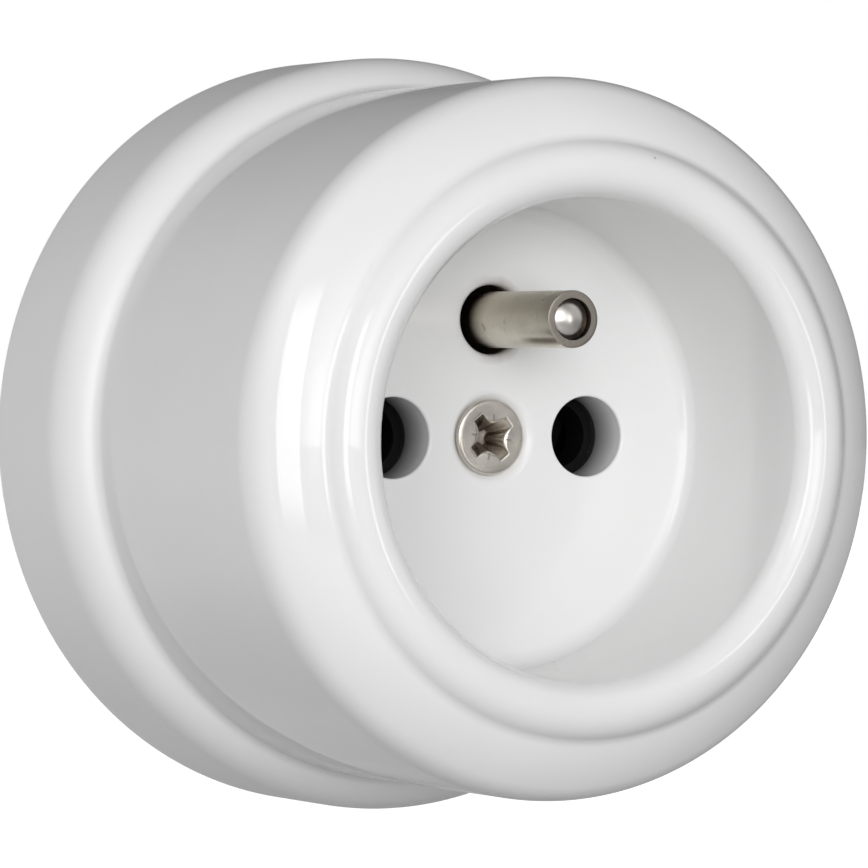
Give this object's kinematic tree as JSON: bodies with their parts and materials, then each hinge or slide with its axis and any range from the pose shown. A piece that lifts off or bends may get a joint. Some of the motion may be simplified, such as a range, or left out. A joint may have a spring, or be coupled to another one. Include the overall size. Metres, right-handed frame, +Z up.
{
  "type": "porcelain surface socket outlet",
  "caption": "Round surface-mounted porcelain socket outlet with a beaded rim, deep plug recess, shuttered pin holes, standing earth pin and central cover screw.",
  "frame": {"origin": "centre of the wall-screw pattern, on the wall plane", "axes": "+Z up, front of the socket faces -Y, +Y into the wall"},
  "size_m": [0.0662, 0.0472, 0.0662],
  "materials": {
    "glaze": "white glazed porcelain",
    "bisque": "unglazed porcelain",
    "black_moulding": "black thermoset moulding",
    "black_shutter": "black moulded shutter",
    "spring_steel": "spring wire",
    "brass": "turned brass",
    "steel": "zinc plated steel",
    "nickel_screw": "nickel plated steel",
    "contact_bronze": "phosphor bronze strip",
    "nickel_pin": "nickel plated brass, worn",
    "nickel_core": "nickel plated brass, domed"
  },
  "bodies": {
    "socket": {"cover": "glaze", "base": "bisque", "contact_block": "black_moulding", "shutter_cap": "black_moulding", "shutter_spring": "spring_steel", "centre_bolt": "brass", "centre_nut": "brass", "centre_washer": "steel", "cover_screw": "nickel_screw", "line_contact": "contact_bronze", "neutral_contact": "contact_bronze", "line_terminal": "brass", "neutral_terminal": "brass", "earth_terminal": "brass", "line_terminal_screw": "steel", "neutral_terminal_screw": "steel", "earth_terminal_screw": "steel", "earth_strap": "contact_bronze", "earth_pin_sleeve": "nickel_pin", "earth_pin_core": "nickel_core"},
    "shutter_rotor": {"shutter": "black_shutter"}
  },
  "joints": [
    {"name": "shutter_turn", "type": "hinge", "parent": "socket", "child": "shutter_rotor", "pos_m": [0, -0.0181, 0], "axis": [0, -1, 0], "range_deg": [0, 39.9], "stiffness_Nm_per_rad": 0.02, "springref_deg": -20.05}
  ]
}
